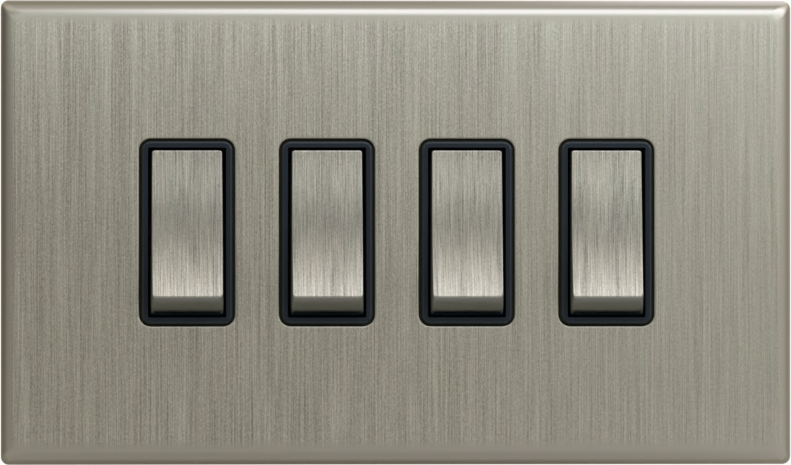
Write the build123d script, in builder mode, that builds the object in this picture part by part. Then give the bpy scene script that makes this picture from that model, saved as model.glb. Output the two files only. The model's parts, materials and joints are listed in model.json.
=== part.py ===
from build123d import *
from math import atan2, cos, degrees, hypot, pi, radians, sin, sqrt, tan
import os

# Four-gang screwless rocker light switch on a double plate, in millimetres.
# X runs to the right, Z up and Y into the wall. The origin is the middle of the wall face.
# Each rocker is drawn at rest, with its lower end out.

# Gangs
gangs = 4
gang_pitch = 25.9

# Rocker, with its heights measured from the pivot towards the room
rocker_width = 13.4
side_draft = 2.5
face_half_length = 13.75
face_rise = 9.44
face_dish = 1.0
rocker_tilt = 10.0
cap_wall = 0.9
cap_fit = 0.05
cap_edge = 0.3
cap_foot = 4.65

# Dolly inside the cap
skirt_foot = 2.0
dolly_wall = 1.35
dolly_hollow_length = 25.0
cheek_drop = 2.8
cheek_tip = 2.4
cheek_root = 5.0
pin_radius = 1.5
pin_fit = 0.05
pin_engagement = 1.3
boss_wall = 1.2
boss_reach = 5.0
boss_rib = 1.6

# Spring and plunger in the dolly
plunger_width = 3.6
plunger_nose = 1.5
plunger_fit = 0.1
plunger_shank = 2.5
plunger_reach = 7.0
spring_length = 5.0
spring_turns = 3
spring_steps = 8
spring_radius = 1.2
spring_wire = 0.5
spring_end_fit = 0.05

# Bezel and well of the surround
side_gap = 0.525
front_gap = 0.675
end_gap = 0.3
bezel_rise = 7.2
bezel_proud = 0.8
bezel_band = 1.14
bezel_corner = 1.7
reveal = 0.53
flange_overlap = 1.5
flange_thick = 1.2
flange_fit = 0.1
well_wall = 1.45
well_depth = 5.0
barb_depth = 1.5
barb_width = 4.0
barb_height = 2.4
barb_catch = 0.8
barb_fit = 0.3

# Front plate
plate_width = 146.5
plate_height = 86.0
plate_projection = 4.5
sheet = 1.0
edge_roll = 3.0
plate_corner = 1.5
pry_notch_width = 12.0
pry_notch_depth = 1.2

# Clip frame behind the front plate
clip_fit = 0.3
clip_back = 0.3
clip_wall = 1.4
clip_ring = 7.0
nose_reach = 0.6
nose_length = 12.0
nose_spacing = 90.0
nose_height = 1.6
nose_fit = 0.1
hook_spacing = 62.0
hook_width = 5.0
hook_thick = 1.4
hook_catch = 0.6
hook_height = 0.7
hook_fit = 0.15

# Support frame
frame_fit = 0.3
frame_sheet = 1.2
frame_corner = 2.0
aperture_fit = 0.25
box_screw_centres = 120.6
slot_width = 4.0
slot_length = 8.0
bead_length = 84.0
bead_width = 5.0
bead_height = 0.6
bead_slope = 45.0

# Base moulding
base_fit = 0.05
base_side_fit = 0.35
base_wall = 1.3
base_floor = 2.6
base_edge = 0.8
barrier = 1.0
rest_fit = 0.1
pocket_width = 12.0
pocket_length = 13.0
pocket_depth = 1.0

# Contact blade
blade_gap = 0.05
blade_width = 4.0
blade_length = 17.2
blade_thick = 1.0
blade_tilt = 8.0
ridge_radius = 0.6
ridge_fit = 0.04
blade_seat = 0.3
tip_size = 2.6
tip_height = 0.6
tip_offset = 7.2
contact_gap = 0.03

# Brass terminals and their screws
strip = 0.9
strip_width = 3.0
pad_margin = 0.2
pad_height = 0.8
yoke_gap = 0.6
yoke_wall = 0.9
yoke_length = 4.4
yoke_lip = 0.8
pillar_width = 5.0
pillar_length = 6.0
pillar_height = 6.6
pillar_end_gap = 0.7
pillar_side_gap = 0.9
wire_width = 3.2
wire_height = 3.4
wire_rise = 4.2
screw_radius = 1.75
screw_sides = 12
screw_fit = 0.02
screw_access_fit = 0.3
screw_recess = 0.7
screw_slot_width = 0.8
screw_slot_depth = 1.0

# Earth terminal on the support frame
earth_from_side = 15.25
earth_from_foot = 12.0
earth_size = 7.0
earth_height = 8.0
earth_wire_rise = 3.0
earth_tenon_width = 4.0
earth_tenon_thick = 2.0
earth_tenon_fit = 0.05
earth_screw_proud = 0.6

# Sizes that follow, from the rocker outwards
end_radius = hypot(face_half_length, face_rise)
dish_radius = (face_half_length**2 + face_dish**2) / (2 * face_dish)
dish_centre = face_rise - face_dish + dish_radius
opening_width = rocker_width + 2 * side_gap
opening_height = 2 * (sqrt(end_radius**2 - bezel_rise**2) + front_gap)
bezel_width = opening_width + 2 * bezel_band
bezel_height = opening_height + 2 * bezel_band
window_width = bezel_width + 2 * reveal
window_height = bezel_height + 2 * reveal
window_corner = bezel_corner + reveal
well_width = opening_width + 2 * well_wall
well_height = 2 * (end_radius + end_gap + well_wall)
aperture_width = well_width + 2 * aperture_fit
aperture_height = well_height + 2 * aperture_fit
flange_width = aperture_width + 2 * flange_overlap
flange_height = aperture_height + 2 * flange_overlap
chamber_width = well_width + 2 * base_side_fit
chamber_height = well_height + 2 * base_side_fit
rest_width = well_wall + base_side_fit - rest_fit
base_width = chamber_width + 2 * base_wall
base_height = chamber_height + 2 * base_wall

# Sizes that follow, from the front plate inwards
clip_width = plate_width - 2 * (sheet + clip_fit)
clip_height = plate_height - 2 * (sheet + clip_fit)
clip_corner = plate_corner - sheet
frame_width = clip_width - 2 * (clip_wall + frame_fit)
frame_height = clip_height - 2 * (clip_wall + frame_fit)
hook_z = frame_height / 2 - frame_sheet - hook_fit - hook_thick / 2
bead_z = (aperture_height + frame_height) / 4
earth_x = frame_width / 2 - earth_from_side
earth_z = earth_from_foot - frame_height / 2

# Distances from the wall towards the room
bezel_front = plate_projection + bezel_proud
flange_front = plate_projection - sheet - flange_fit
clip_front = plate_projection - sheet - clip_fit
frame_front = flange_front - flange_thick
frame_back = frame_front - frame_sheet
base_front = frame_back - base_fit

# Distances from the wall into the box
pivot_depth = bezel_rise - bezel_front
blade_depth = pivot_depth + plunger_reach + blade_gap + blade_thick + blade_seat
tilt = radians(blade_tilt)
tip_face = tip_height - blade_seat + contact_gap
pad_depth = blade_depth + tip_face * cos(tilt) + tip_offset * sin(tilt)
pad_z = tip_offset * cos(tilt) - tip_face * sin(tilt)
floor_depth = pad_depth + pad_height + strip
wire_depth = floor_depth - wire_rise
base_back = floor_depth + base_floor
earth_back = earth_height - frame_back
earth_wire_depth = earth_wire_rise - frame_back

# Places of the terminals in one gang
pillar_x = barrier / 2 + pillar_side_gap + pillar_width / 2
pillar_z = chamber_height / 2 - pillar_end_gap - pillar_length / 2
common_place = (-pillar_x, pillar_z)
way_one_place = (0, -pillar_z)
way_two_place = (pillar_x, pillar_z)
pad_size = tip_size + 2 * pad_margin
yoke_half = blade_width / 2 + yoke_gap + yoke_wall

# Planes of one gang at x = 0, with its rocker and blade as they stand at rest
lean = radians(rocker_tilt)
rocker_side = Plane((0, pivot_depth, 0), x_dir=(0, -cos(lean), sin(lean)), z_dir=(-1, 0, 0))
rocker_front = Plane((0, pivot_depth, 0), x_dir=(1, 0, 0), z_dir=(0, -cos(lean), sin(lean)))
rocker_end = Plane((0, pivot_depth, 0), x_dir=(1, 0, 0), z_dir=(0, -sin(lean), -cos(lean)))
blade_front = Plane((0, blade_depth, 0), x_dir=(1, 0, 0), z_dir=(0, -cos(tilt), -sin(tilt)))
lower_pad = Plane((0, pad_depth, -pad_z), x_dir=(1, 0, 0), z_dir=(0, -cos(tilt), -sin(tilt)))
upper_pad = Plane((0, pad_depth, pad_z), x_dir=(1, 0, 0), z_dir=(0, -cos(tilt), sin(tilt)))
floor_plane = Plane.XZ.offset(-floor_depth)
back_plane = Plane.XZ.offset(-base_back)
nose_planes = (Plane.YZ.offset(-nose_spacing / 2), Plane.YZ.offset(nose_spacing / 2))
hook_planes = (Plane.YZ.offset(-hook_spacing), Plane.YZ, Plane.YZ.offset(hook_spacing))

os.makedirs("parts", exist_ok=True)


def export_once(piece, name):
    """Write a piece that the switch has one of."""
    piece.part.label = name
    export_step(piece.part, f"parts/{name}.step")


def export_in_gangs(piece, name):
    """Write a piece of one gang once for each gang, numbered from left to right."""
    for number in range(1, gangs + 1):
        gang_x = (number - (gangs + 1) / 2) * gang_pitch
        with BuildPart() as placed:
            with Locations((gang_x, 0, 0)):
                add(piece.part)
        placed.part.label = f"{name}_{number}"
        export_step(placed.part, f"parts/{name}_{number}.step")


def pressed_blank(width, height, back, front, roll, corner):
    """A shallow dish with a flat face, front edges rolled over and round corners."""
    depth = front - back
    with BuildPart() as blank:
        with BuildSketch(Plane.XZ.offset(back)):
            RectangleRounded(width, height, corner)
        extrude(amount=depth)
        with BuildSketch(Plane.YZ) as end_view:
            with Locations((-back, 0)):
                Rectangle(depth, height, align=(Align.MAX, Align.CENTER))
            fillet(end_view.vertices().group_by(Axis.X)[0], roll)
        extrude(amount=width, both=True, mode=Mode.INTERSECT)
        with BuildSketch(Plane.XY) as top_view:
            with Locations((0, -back)):
                Rectangle(width, depth, align=(Align.CENTER, Align.MAX))
            fillet(top_view.vertices().group_by(Axis.Y)[0], roll)
        extrude(amount=height, both=True, mode=Mode.INTERSECT)
    return blank.part


def rocker_block(inset):
    """The rocker above the cap's foot: dished face, round ends and drafted sides, drawn in by inset."""
    ends = end_radius - inset
    dish = dish_radius + inset
    edge_rise = (ends**2 - dish**2 + dish_centre**2) / (2 * dish_centre)
    edge_half = sqrt(ends**2 - edge_rise**2)
    foot_half = sqrt(ends**2 - cap_foot**2)
    edge_angle = degrees(atan2(edge_half, edge_rise))
    end_angle = degrees(atan2(foot_half, cap_foot)) - edge_angle
    draft = radians(side_draft)
    foot_side = rocker_width / 2 - inset / cos(draft)
    face_side = foot_side - (face_rise - cap_foot) * tan(draft)
    with BuildPart() as block:
        with BuildSketch(rocker_side):
            with BuildLine():
                ThreePointArc((edge_rise, edge_half), (dish_centre - dish, 0), (edge_rise, -edge_half))
                CenterArc((0, 0), ends, edge_angle, end_angle)
                CenterArc((0, 0), ends, -edge_angle, -end_angle)
                Line((cap_foot, foot_half), (cap_foot, -foot_half))
            make_face()
        extrude(amount=rocker_width / 2, both=True)
        with BuildSketch(rocker_end):
            with BuildLine():
                Polyline(
                    (foot_side, cap_foot),
                    (face_side, face_rise),
                    (-face_side, face_rise),
                    (-foot_side, cap_foot),
                    close=True,
                )
            make_face()
        extrude(amount=end_radius, both=True, mode=Mode.INTERSECT)
    return block.part


def nose_section(reach):
    """The clip frame's snap noses from their end: a wedge above and a wedge below, grown to reach."""
    with BuildSketch() as section:
        with Locations((-nose_height, 0)):
            with GridLocations(1, clip_height, 1, 2):
                Rectangle(reach * sqrt(2), reach * sqrt(2), rotation=45)
    return section.sketch


def terminal(place, strips):
    """A brass terminal: flat strips on the floor of the base, and a pillar that clamps the wire."""
    with BuildPart() as brass:
        with BuildSketch(floor_plane):
            for low_x, low_z, high_x, high_z in strips:
                with Locations((low_x, low_z)):
                    Rectangle(high_x - low_x, high_z - low_z, align=Align.MIN)
        extrude(amount=strip)
        with BuildSketch(floor_plane):
            with Locations(place):
                Rectangle(pillar_width, pillar_length)
        extrude(amount=pillar_height)
        with BuildSketch(Plane.XY.offset(place[1])):
            with Locations((place[0], wire_depth)):
                Rectangle(wire_width, wire_height)
        extrude(amount=pillar_length, both=True, mode=Mode.SUBTRACT)
        with BuildSketch(floor_plane):
            with Locations(place):
                RegularPolygon(screw_radius + screw_fit, screw_sides)
        extrude(amount=wire_rise, mode=Mode.SUBTRACT)
    return brass.part


# Front plate: pressed sheet with a window for each gang, grooves for the clips and a notch to prise it off
with BuildPart() as front_plate:
    add(pressed_blank(plate_width, plate_height, 0, plate_projection, edge_roll, plate_corner))
    add(
        pressed_blank(
            plate_width - 2 * sheet,
            plate_height - 2 * sheet,
            0,
            plate_projection - sheet,
            edge_roll - sheet,
            plate_corner - sheet,
        ),
        mode=Mode.SUBTRACT,
    )
    with BuildSketch(Plane.XZ):
        with GridLocations(gang_pitch, gang_pitch, gangs, 1):
            RectangleRounded(window_width, window_height, window_corner)
    extrude(amount=plate_projection, mode=Mode.SUBTRACT)
    with BuildSketch(*nose_planes):
        add(nose_section(nose_reach + nose_fit))
    extrude(amount=nose_length / 2 + nose_fit, both=True, mode=Mode.SUBTRACT)
    with BuildSketch(Plane.XZ):
        with Locations((0, -plate_height / 2)):
            Rectangle(pry_notch_width, 3 * sheet)
    extrude(amount=pry_notch_depth, mode=Mode.SUBTRACT)
export_once(front_plate, "front_plate")

# Clip frame: its noses snap into the front plate, and its hooks hold it to the support frame
with BuildPart() as clip_frame:
    add(pressed_blank(clip_width, clip_height, clip_back, clip_front, edge_roll - sheet, clip_corner))
    with BuildSketch(Plane.XZ):
        Rectangle(clip_width - 2 * clip_ring, clip_height - 2 * clip_ring)
    extrude(amount=clip_front, mode=Mode.SUBTRACT)
    with BuildSketch(Plane.XZ):
        Rectangle(frame_width + 2 * frame_fit, frame_height + 2 * frame_fit)
    extrude(amount=frame_front, mode=Mode.SUBTRACT)
    with BuildSketch(*nose_planes):
        add(nose_section(nose_reach))
    extrude(amount=nose_length / 2, both=True)
    with BuildSketch(*hook_planes):
        with BuildLine():
            Polyline(
                (-frame_front, hook_z + hook_thick / 2),
                (-frame_back + hook_height, hook_z + hook_thick / 2),
                (-frame_back + hook_height, hook_z - hook_thick / 2),
                (-frame_back + hook_fit, hook_z - hook_thick / 2 - hook_catch),
                (-frame_back + hook_fit, hook_z - hook_thick / 2),
                (-frame_front, hook_z - hook_thick / 2),
                close=True,
            )
        make_face()
        mirror(about=Plane.XZ)
    extrude(amount=hook_width / 2, both=True)
export_once(clip_frame, "clip_frame")

# Support frame: pressed steel tray with two stiffening beads, whose turned-back edge stands on the wall
with BuildPart() as support_frame:
    with BuildSketch(Plane.XZ):
        RectangleRounded(frame_width, frame_height, frame_corner)
    extrude(amount=frame_front)
    with BuildSketch(Plane.XZ):
        RectangleRounded(
            frame_width - 2 * frame_sheet, frame_height - 2 * frame_sheet, frame_corner - frame_sheet
        )
    extrude(amount=frame_back, mode=Mode.SUBTRACT)
    with BuildSketch(Plane.XZ):
        with GridLocations(gang_pitch, gang_pitch, gangs, 1):
            Rectangle(aperture_width, aperture_height)
        with GridLocations(box_screw_centres, 1, 2, 1):
            SlotOverall(slot_length, slot_width)
        with GridLocations(hook_spacing, 2 * hook_z, 3, 2):
            Rectangle(hook_width + 2 * hook_fit, hook_thick + 2 * hook_fit)
        with Locations((earth_x, earth_z)):
            Rectangle(earth_tenon_width + 2 * earth_tenon_fit, earth_tenon_thick + 2 * earth_tenon_fit)
    extrude(amount=frame_front, mode=Mode.SUBTRACT)
    with BuildSketch(Plane.XZ.offset(frame_front)):
        with GridLocations(1, 2 * bead_z, 1, 2):
            Rectangle(bead_length, bead_width)
    extrude(amount=bead_height, taper=bead_slope)
    with BuildSketch(Plane.XZ.offset(frame_back)):
        with GridLocations(1, 2 * bead_z, 1, 2):
            Rectangle(bead_length, bead_width)
    extrude(amount=bead_height, taper=bead_slope, mode=Mode.SUBTRACT)
export_once(support_frame, "support_frame")

# Earth terminal: brass pillar, held in the support frame by its tenon
with BuildPart() as earth_terminal:
    with BuildSketch(Plane.XZ.offset(frame_back)):
        with Locations((earth_x, earth_z)):
            Rectangle(earth_size, earth_size)
    extrude(amount=-earth_height)
    with BuildSketch(Plane.XZ.offset(frame_back)):
        with Locations((earth_x, earth_z)):
            Rectangle(earth_tenon_width, earth_tenon_thick)
    extrude(amount=frame_sheet)
    with BuildSketch(Plane.YZ.offset(earth_x)):
        with Locations((earth_wire_depth, earth_z)):
            Rectangle(wire_height, wire_width)
    extrude(amount=earth_size, both=True, mode=Mode.SUBTRACT)
    with BuildSketch(Plane.XZ.offset(-earth_back)):
        with Locations((earth_x, earth_z)):
            RegularPolygon(screw_radius + screw_fit, screw_sides)
    extrude(amount=earth_back - earth_wire_depth, mode=Mode.SUBTRACT)
export_once(earth_terminal, "earth_terminal")

# Earth screw
with BuildPart() as earth_screw:
    with BuildSketch(Plane.XZ.offset(-earth_back - earth_screw_proud)):
        with Locations((earth_x, earth_z)):
            RegularPolygon(screw_radius, screw_sides)
    extrude(amount=earth_back + earth_screw_proud - earth_wire_depth - wire_height / 2)
    with BuildSketch(Plane.XZ.offset(-earth_back - earth_screw_proud)):
        with Locations((earth_x, earth_z)):
            Rectangle(4 * screw_radius, screw_slot_width)
    extrude(amount=screw_slot_depth, mode=Mode.SUBTRACT)
export_once(earth_screw, "earth_screw")

# Surround: bezel in the plate's window, flange on the support frame, well with open bearings for the pins
with BuildPart() as surround:
    with BuildSketch(Plane.XZ.offset(frame_front)):
        RectangleRounded(bezel_width, bezel_height, bezel_corner)
    extrude(amount=bezel_front - frame_front)
    with BuildSketch(Plane.XZ.offset(frame_front)):
        Rectangle(flange_width, flange_height)
    extrude(amount=flange_thick)
    with BuildSketch(Plane.XZ.offset(frame_front)):
        Rectangle(well_width, well_height)
    extrude(amount=-frame_front - well_depth)
    with BuildSketch(Plane.XZ.offset(bezel_front)):
        Rectangle(opening_width, opening_height)
    extrude(amount=-bezel_front - well_depth, mode=Mode.SUBTRACT)
    with BuildSketch(rocker_side):
        Circle(end_radius + end_gap)
    extrude(amount=opening_width / 2, both=True, mode=Mode.SUBTRACT)
    with BuildSketch(Plane.YZ):
        with Locations((pivot_depth, 0)):
            Circle(pin_radius + pin_fit)
            Rectangle(well_depth, 2 * (pin_radius + pin_fit), align=(Align.MIN, Align.CENTER))
    extrude(amount=well_width, both=True, mode=Mode.SUBTRACT)
    with BuildSketch(Plane.YZ):
        with BuildLine():
            Polyline(
                (barb_depth, well_height / 2 - well_wall / 2),
                (barb_depth, chamber_height / 2 + barb_catch),
                (barb_depth + barb_height, well_height / 2),
                (barb_depth + barb_height, well_height / 2 - well_wall / 2),
                close=True,
            )
        make_face()
        mirror(about=Plane.XZ)
    extrude(amount=barb_width / 2, both=True)
export_in_gangs(surround, "surround")

# Base: rear moulding with the terminals, a rest behind each pivot pin, and windows for the surround's barbs
with BuildPart() as base:
    with BuildSketch(Plane.XZ.offset(base_front)):
        Rectangle(base_width, base_height)
    extrude(amount=-base_front - base_back)
    chamfer(base.edges().filter_by(Axis.Y), base_edge)
    with BuildSketch(floor_plane):
        Rectangle(chamber_width, chamber_height)
    extrude(amount=base_front + floor_depth, mode=Mode.SUBTRACT)
    with BuildSketch(floor_plane):
        with Locations((0, chamber_height / 2)):
            Rectangle(barrier, pillar_length, align=(Align.CENTER, Align.MAX))
        with Locations((0, -chamber_height / 2)):
            with GridLocations(pillar_width + 2 * pillar_side_gap + barrier, 1, 2, 1):
                Rectangle(barrier, pillar_length, align=(Align.CENTER, Align.MIN))
    extrude(amount=pillar_height)
    with BuildSketch(floor_plane):
        with GridLocations(chamber_width - rest_width, 1, 2, 1):
            Rectangle(rest_width, 2 * (pin_radius - rest_fit))
    extrude(amount=floor_depth - pivot_depth - pin_radius - rest_fit)
    with BuildSketch(Plane.XY):
        with Locations((-pillar_x, wire_depth), (pillar_x, wire_depth)):
            Rectangle(wire_width, wire_height)
    extrude(amount=base_height, mode=Mode.SUBTRACT)
    with BuildSketch(Plane.XY):
        with Locations((0, wire_depth)):
            Rectangle(wire_width, wire_height)
    extrude(amount=-base_height, mode=Mode.SUBTRACT)
    with BuildSketch(Plane.XY):
        with Locations((0, barb_depth + barb_height / 2)):
            Rectangle(barb_width + 2 * barb_fit, barb_height + 2 * barb_fit)
    extrude(amount=base_height, both=True, mode=Mode.SUBTRACT)
    with BuildSketch(back_plane):
        with Locations(common_place, way_one_place, way_two_place):
            Rectangle(2 * (screw_radius + screw_access_fit), 2 * (screw_radius + screw_access_fit))
    extrude(amount=base_floor, mode=Mode.SUBTRACT)
    with BuildSketch(back_plane):
        Rectangle(pocket_width, pocket_length)
    extrude(amount=pocket_depth, mode=Mode.SUBTRACT)
export_in_gangs(base, "base")

# Common terminal: its strip runs to a round ridge that the blade rocks on, between two cheeks
common_strips = (
    (-pillar_x - strip_width / 2, -yoke_length / 2, -pillar_x + strip_width / 2, pillar_z),
    (-pillar_x - strip_width / 2, -yoke_length / 2, yoke_half, yoke_length / 2),
)
with BuildPart() as common_terminal:
    add(terminal(common_place, common_strips))
    with BuildSketch(floor_plane):
        with GridLocations(2 * yoke_half - yoke_wall, 1, 2, 1):
            Rectangle(yoke_wall, yoke_length)
    extrude(amount=floor_depth - blade_depth + yoke_lip)
    with BuildSketch(Plane.YZ):
        with Locations((blade_depth, 0)):
            Circle(ridge_radius)
            Rectangle(floor_depth - blade_depth, 2 * ridge_radius, align=(Align.MIN, Align.CENTER))
    extrude(amount=blade_width / 2, both=True)
export_in_gangs(common_terminal, "common_terminal")

# Way one terminal: its contact pad leans to meet the lower end of the blade
way_one_strips = ((-strip_width / 2, -pillar_z, strip_width / 2, -pad_z + pad_size / 2),)
with BuildPart() as way_one_terminal:
    add(terminal(way_one_place, way_one_strips))
    with BuildSketch(lower_pad):
        Rectangle(pad_size, pad_size)
    extrude(amount=-pad_height - strip / 2)
export_in_gangs(way_one_terminal, "way_one_terminal")

# Way two terminal: its contact pad leans to meet the upper end of the blade
way_two_strips = (
    (pillar_x - strip_width / 2, pad_z - pad_size / 2, pillar_x + strip_width / 2, pillar_z),
    (-pad_size / 2, pad_z - pad_size / 2, pillar_x + strip_width / 2, pad_z + pad_size / 2),
)
with BuildPart() as way_two_terminal:
    add(terminal(way_two_place, way_two_strips))
    with BuildSketch(upper_pad):
        Rectangle(pad_size, pad_size)
    extrude(amount=-pad_height - strip / 2)
export_in_gangs(way_two_terminal, "way_two_terminal")

# Terminal screws, each below the wire passage of its pillar
with BuildPart() as terminal_screws:
    with BuildSketch(back_plane.offset(screw_recess)):
        with Locations(common_place, way_one_place, way_two_place):
            RegularPolygon(screw_radius, screw_sides)
    extrude(amount=base_floor - screw_recess + wire_rise - wire_height / 2)
    with BuildSketch(back_plane.offset(screw_recess)):
        with Locations(common_place, way_one_place, way_two_place):
            Rectangle(4 * screw_radius, screw_slot_width)
    extrude(amount=screw_slot_depth, mode=Mode.SUBTRACT)
export_in_gangs(terminal_screws, "terminal_screws")

# Contact blade: see-saw with a groove on the ridge and a contact tip under each end
with BuildPart() as contact_blade:
    with BuildSketch(blade_front.offset(blade_seat)):
        Rectangle(blade_width, blade_length)
    extrude(amount=blade_thick)
    with BuildSketch(blade_front.offset(blade_seat)):
        with GridLocations(1, 2 * tip_offset, 1, 2):
            Rectangle(tip_size, tip_size)
    extrude(amount=-tip_height)
    with BuildSketch(Plane.YZ):
        with Locations((blade_depth, 0)):
            Circle(ridge_radius + ridge_fit)
    extrude(amount=blade_width, both=True, mode=Mode.SUBTRACT)
export_in_gangs(contact_blade, "contact_blade")

# Rocker cap: metal shell with a dished face and drafted sides
with BuildPart() as rocker_cap:
    add(rocker_block(0))
    dish = rocker_cap.faces().filter_by(GeomType.CYLINDER).sort_by(SortBy.RADIUS)[-1]
    chamfer(dish.edges(), cap_edge)
    add(rocker_block(cap_wall), mode=Mode.SUBTRACT)
export_in_gangs(rocker_cap, "rocker_cap")

# Dolly: plug inside the cap, skirt below it, pivot cheeks with their pins, and a boss for the spring
cap_inset = cap_wall + cap_fit
hollow_width = rocker_width - 2 * (cap_inset + dolly_wall)
hollow_top = face_rise - face_dish - cap_inset - dolly_wall
bore_width = plunger_width + 2 * plunger_fit
bore_height = 2 * (plunger_nose + plunger_fit)
with BuildPart() as dolly:
    add(rocker_block(cap_inset))
    with BuildSketch(rocker_side):
        Circle(end_radius)
        with Locations((skirt_foot, 0)):
            Rectangle(
                cap_foot - skirt_foot, 2 * end_radius, align=(Align.MIN, Align.CENTER), mode=Mode.INTERSECT
            )
        with BuildLine():
            Polyline(
                (skirt_foot, cheek_root),
                (-cheek_drop, cheek_tip),
                (-cheek_drop, -cheek_tip),
                (skirt_foot, -cheek_root),
                close=True,
            )
        make_face()
    extrude(amount=rocker_width / 2, both=True)
    with BuildSketch(rocker_side):
        Circle(pin_radius)
    extrude(amount=opening_width / 2 + pin_engagement, both=True)
    with BuildSketch(rocker_front.offset(-cheek_drop)):
        Rectangle(hollow_width, dolly_hollow_length)
    extrude(amount=cheek_drop + hollow_top, mode=Mode.SUBTRACT)
    with BuildSketch(rocker_front.offset(hollow_top)):
        Rectangle(hollow_width, boss_rib)
    extrude(amount=-hollow_top)
    with BuildSketch(rocker_front.offset(hollow_top)):
        Rectangle(bore_width + 2 * boss_wall, bore_height + 2 * boss_wall)
    extrude(amount=-hollow_top - boss_reach)
    with BuildSketch(rocker_front.offset(-boss_reach)):
        Rectangle(bore_width, bore_height)
    extrude(amount=plunger_shank + spring_length, mode=Mode.SUBTRACT)
export_in_gangs(dolly, "dolly")

# Plunger: slider with a round nose
with BuildPart() as plunger:
    with BuildSketch(rocker_side):
        with Locations((plunger_nose - plunger_reach, 0)):
            Circle(plunger_nose)
            Rectangle(
                plunger_reach - plunger_nose - boss_reach + plunger_shank,
                2 * plunger_nose,
                align=(Align.MIN, Align.CENTER),
            )
    extrude(amount=plunger_width / 2, both=True)
export_in_gangs(plunger, "plunger")

# Spring between the plunger and the end of its bore, coiled in straight steps
coil_start = plunger_shank - boss_reach + spring_wire / 2 + spring_end_fit
coil_rise = spring_length - spring_wire - 2 * spring_end_fit
coil_points = []
for step in range(spring_turns * spring_steps + 1):
    turned = 2 * pi * step / spring_steps
    climbed = coil_rise * step / (spring_turns * spring_steps)
    coil_points.append((spring_radius * cos(turned), spring_radius * sin(turned), climbed))
with BuildPart() as spring:
    with BuildLine(rocker_front.offset(coil_start)) as coil:
        Polyline(*coil_points)
    with BuildSketch(Plane(coil.line @ 0, x_dir=rocker_front.z_dir, z_dir=coil.line % 0)):
        Rectangle(spring_wire, spring_wire)
    sweep(path=coil.line, transition=Transition.RIGHT)
export_in_gangs(spring, "spring")
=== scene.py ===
import json
from math import asin, atan2, cos, hypot, pi, radians, sin, tan

import bmesh
import bpy
from mathutils import Matrix, Vector


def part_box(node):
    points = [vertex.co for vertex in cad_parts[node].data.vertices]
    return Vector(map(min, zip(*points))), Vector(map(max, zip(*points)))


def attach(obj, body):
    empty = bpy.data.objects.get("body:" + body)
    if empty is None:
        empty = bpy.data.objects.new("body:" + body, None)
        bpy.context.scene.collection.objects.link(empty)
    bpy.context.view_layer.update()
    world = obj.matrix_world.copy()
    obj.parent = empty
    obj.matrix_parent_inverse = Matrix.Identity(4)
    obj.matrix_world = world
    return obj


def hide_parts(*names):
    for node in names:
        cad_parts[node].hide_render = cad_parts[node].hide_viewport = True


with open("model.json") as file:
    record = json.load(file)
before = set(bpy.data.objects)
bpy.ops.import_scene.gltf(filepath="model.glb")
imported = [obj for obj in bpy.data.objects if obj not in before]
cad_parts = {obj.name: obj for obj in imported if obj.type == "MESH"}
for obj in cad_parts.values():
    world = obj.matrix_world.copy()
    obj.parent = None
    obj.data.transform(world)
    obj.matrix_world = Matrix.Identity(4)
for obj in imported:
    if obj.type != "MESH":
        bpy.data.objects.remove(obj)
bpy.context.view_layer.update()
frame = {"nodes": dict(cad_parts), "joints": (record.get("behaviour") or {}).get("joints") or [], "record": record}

MM = 0.001

# Where each rocker turns, from the left gang to the right
pivots = [Vector(j["pos_m"]) for j in frame["joints"] if j["name"].startswith("rocker_hinge")]

# Front plate
plate_low, plate_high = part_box("front_plate")
PLATE_WIDTH = plate_high.x - plate_low.x
PLATE_HEIGHT = plate_high.z - plate_low.z
PLATE_FRONT = -plate_low.y
SHEET = 1.0 * MM
EDGE_ROLL = 3.0 * MM
PLATE_CORNER = 1.5 * MM
WINDOW_WIDTH = 17.79 * MM
WINDOW_HEIGHT = 34.78 * MM
WINDOW_CORNER = 2.23 * MM
WINDOW_ROLL = 0.75 * MM
WINDOW_TURN = radians(28)
NOTCH_WIDTH = 12.0 * MM
NOTCH_DEPTH = 1.2 * MM

# Rocker caps, with heights measured from the pivot
CAP_WIDTH = 13.4 * MM
CAP_DRAFT = radians(2.5)
CAP_HALF_LENGTH = 13.75 * MM
CAP_RISE = 9.44 * MM
CAP_DISH = 1.0 * MM
CAP_FOOT = 4.65 * MM
CAP_WALL = 0.9 * MM
CAP_LEAN = radians(10.0)
CAP_CORNER = 0.55 * MM
CAP_EDGE = 0.2 * MM

# Bezels
BEZEL_BAND = 1.14 * MM
BEZEL_RIM = 0.4 * MM
BEZEL_EDGE = 0.2 * MM
OPENING_CORNER = 0.35 * MM

# Edges as pressing, moulding and machining leave them
MOULDED_EDGE = 0.25 * MM
PRESSED_EDGE = 0.15 * MM
CUT_EDGE = 0.12 * MM

# Clamping screws and terminal marks
SCREW_RADIUS = 1.75 * MM
SCREW_SLOT = 0.8 * MM
SCREW_SLOT_DEPTH = 1.0 * MM
SCREW_EDGE = 0.15 * MM
MARK_SIZE = 2.2 * MM
MARK_HEIGHT = 0.12 * MM
MARK_DROP = 5.4 * MM

# Fineness of the meshes
ARC_STEPS = 8
ROLL_STEPS = 12
WINDOW_STEPS = 6
DISH_STEPS = 32
END_STEPS = 10
CORNER_STEPS = 4
EDGE_STEPS = 3
EASED_STEPS = 2
SCREW_SIDES = 40
MERGE = 0.0005 * MM
FLAT = radians(0.5)
SHARP = radians(30)

# Brushing: full on faces turned less than the first angle from the front, and none past the second. The
# strokes fade over a short length before the plate's upper and lower rolls.
BRUSH_START = radians(9)
BRUSH_END = radians(48)
STROKE_FADE = 1.7 * MM
STROKE_RELIEF = 0.25
UNBRUSHED_TONE = 0.6
GRAIN_MAP = "brush_grain"
BRUSHED_SHARE = "brushed_share"

# Faint casts that the strokes give the metal, as factors on its colour
PINK_CAST = "#FFFBFE"
GREEN_CAST = "#FBFFFA"

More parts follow.
